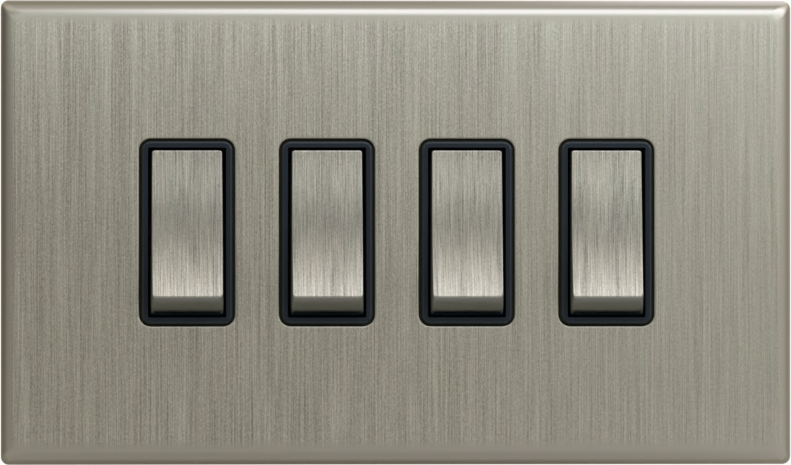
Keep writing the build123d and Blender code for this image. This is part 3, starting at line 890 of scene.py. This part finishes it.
# Camera, level with the rockers and a little to their left, so that it sees their left sides
PHOTO_WIDTH = 791
PLATE_PIXELS = 790.0
LENS = 400.0
SENSOR = 36.0
VIEW_FROM_LEFT = radians(2.5)
AIM_LEFT = 0.13 * MM
view_distance = PLATE_WIDTH * PHOTO_WIDTH / PLATE_PIXELS * LENS / SENSOR
camera_data = bpy.data.cameras.new("camera")
camera_data.lens = LENS
camera_data.sensor_width = SENSOR
camera = bpy.data.objects.new("camera", camera_data)
camera.location = Vector((-sin(VIEW_FROM_LEFT), -cos(VIEW_FROM_LEFT), 0)) * view_distance
camera.location.x -= AIM_LEFT
camera.location.y += EDGE_ROLL - PLATE_FRONT
camera.rotation_euler = (pi / 2, 0, -VIEW_FROM_LEFT)
bpy.context.scene.collection.objects.link(camera)
bpy.context.scene.camera = camera
bpy.context.scene.view_settings.view_transform = "Standard"

# Tints of the lamps and of the room
SKY_WHITE = "#DEE4FF"
COOL_WHITE = "#EDF6FC"
WARM_WHITE = "#FFFDFA"


def softbox(name, place, width, height, level, tint):
    """A soft lamp that faces the switch squarely; level is how bright its face looks, where 1 is white."""
    lamp = bpy.data.lights.new(name, "AREA")
    lamp.shape = "RECTANGLE"
    lamp.size = width
    lamp.size_y = height
    lamp.energy = level * pi * width * height
    lamp.color = linear(tint)[:3]
    box = bpy.data.objects.new(name, lamp)
    box.location = place
    box.rotation_euler = Vector((0, -place[1], -place[2])).to_track_quat("-Z", "Y").to_euler()
    bpy.context.scene.collection.objects.link(box)


# Three strips in front of the plate's upper edge, one to its right, and a softbox behind and above
softbox("edge_strip", (0.13, -0.094, 0.103), width=0.36, height=0.078, level=1.55, tint=SKY_WHITE)
softbox("front_strip", (0.08, -0.20, 0.042), width=0.5, height=0.03, level=0.42, tint=COOL_WHITE)
softbox("top_strip", (0.08, -0.07, 0.053), width=0.5, height=0.025, level=0.45, tint=COOL_WHITE)
softbox("right_strip", (0.17, -0.40, 0.06), width=0.06, height=0.2, level=1.7, tint=COOL_WHITE)
softbox("rear_softbox", (0.13, 0.12, 0.22), width=0.16, height=0.26, level=1.35, tint=SKY_WHITE)

# Studio room, by the direction looked in. Each panel fades in along one axis, from where it starts to
# where it is full, and there adds its gain to the room's level, or takes it away.
ROOM_LEVEL = 0.176
ROOM_PANELS = {
    "front_wall": ("Y", 0.25, -0.5, 0.06),
    "behind_camera": ("Y", -0.93, -1.0, 0.08),
    "white_backdrop": ("Y", 0.85, 0.98, 0.8),
    "floor_glow": ("Z", -0.05, -0.25, 0.3),
    "low_panel": ("Z", 0.04, 0.13, 0.09),
    "dark_gap": ("Z", 0.22, 0.31, -0.14),
    "high_panel": ("Z", 0.28, 0.57, 0.65),
    "dim_ceiling": ("Z", 0.6, 0.87, -0.26),
    "right_wall": ("X", 0.0, 0.9, 0.54),
    "right_panel": ("X", 0.4, 0.75, 0.1),
    "dim_right_end": ("X", 0.78, 0.98, -0.36),
    "left_wall": ("X", -0.1, -0.6, 0.1),
    "dim_left_end": ("X", -0.75, -1.0, -0.1),
}


def studio_room():
    world = bpy.data.worlds.new("studio_room")
    world.use_nodes = True
    tree = world.node_tree
    tree.nodes.clear()
    towards = add(tree, "ShaderNodeTexCoord").outputs["Generated"]
    direction = add(tree, "ShaderNodeSeparateXYZ", {"Vector": towards}).outputs
    level = ROOM_LEVEL
    for panel, (axis, start, full, gain) in ROOM_PANELS.items():
        shade = add(
            tree,
            "ShaderNodeMapRange",
            {"Value": direction[axis], "From Min": start, "From Max": full, "To Max": gain},
            interpolation_type="SMOOTHSTEP",
            label=panel,
        )
        level = add(tree, "ShaderNodeMath", {0: level, 1: shade.outputs[0]}).outputs[0]
    room = add(tree, "ShaderNodeBackground", {"Color": linear(WARM_WHITE), "Strength": level})
    add(tree, "ShaderNodeOutputWorld", {"Surface": room.outputs[0]})
    bpy.context.scene.world = world


# Plain pale floor below the switch, which ends behind it
FLOOR_DROP = 0.052
FLOOR_RADIUS = 2.0
FLOOR_BEHIND = 0.3
FLOOR_SIDES = 96
FLOOR_GREY = "#C6C4C0"


def plain_floor():
    bm = bmesh.new()
    place = Matrix.Translation((0, FLOOR_BEHIND - FLOOR_RADIUS, -FLOOR_DROP))
    bmesh.ops.create_circle(bm, cap_ends=True, segments=FLOOR_SIDES, radius=FLOOR_RADIUS, matrix=place)
    mesh = bpy.data.meshes.new("floor")
    bm.to_mesh(mesh)
    bm.free()
    material, tree = new_material("pale_floor")
    shader = add(tree, "ShaderNodeBsdfPrincipled", {"Base Color": linear(FLOOR_GREY), "Roughness": 0.9})
    add(tree, "ShaderNodeOutputMaterial", {"Surface": shader.outputs[0]})
    mesh.materials.append(material)
    floor = bpy.data.objects.new("floor", mesh)
    bpy.context.scene.collection.objects.link(floor)


studio_room()
plain_floor()

bpy.context.view_layer.update()
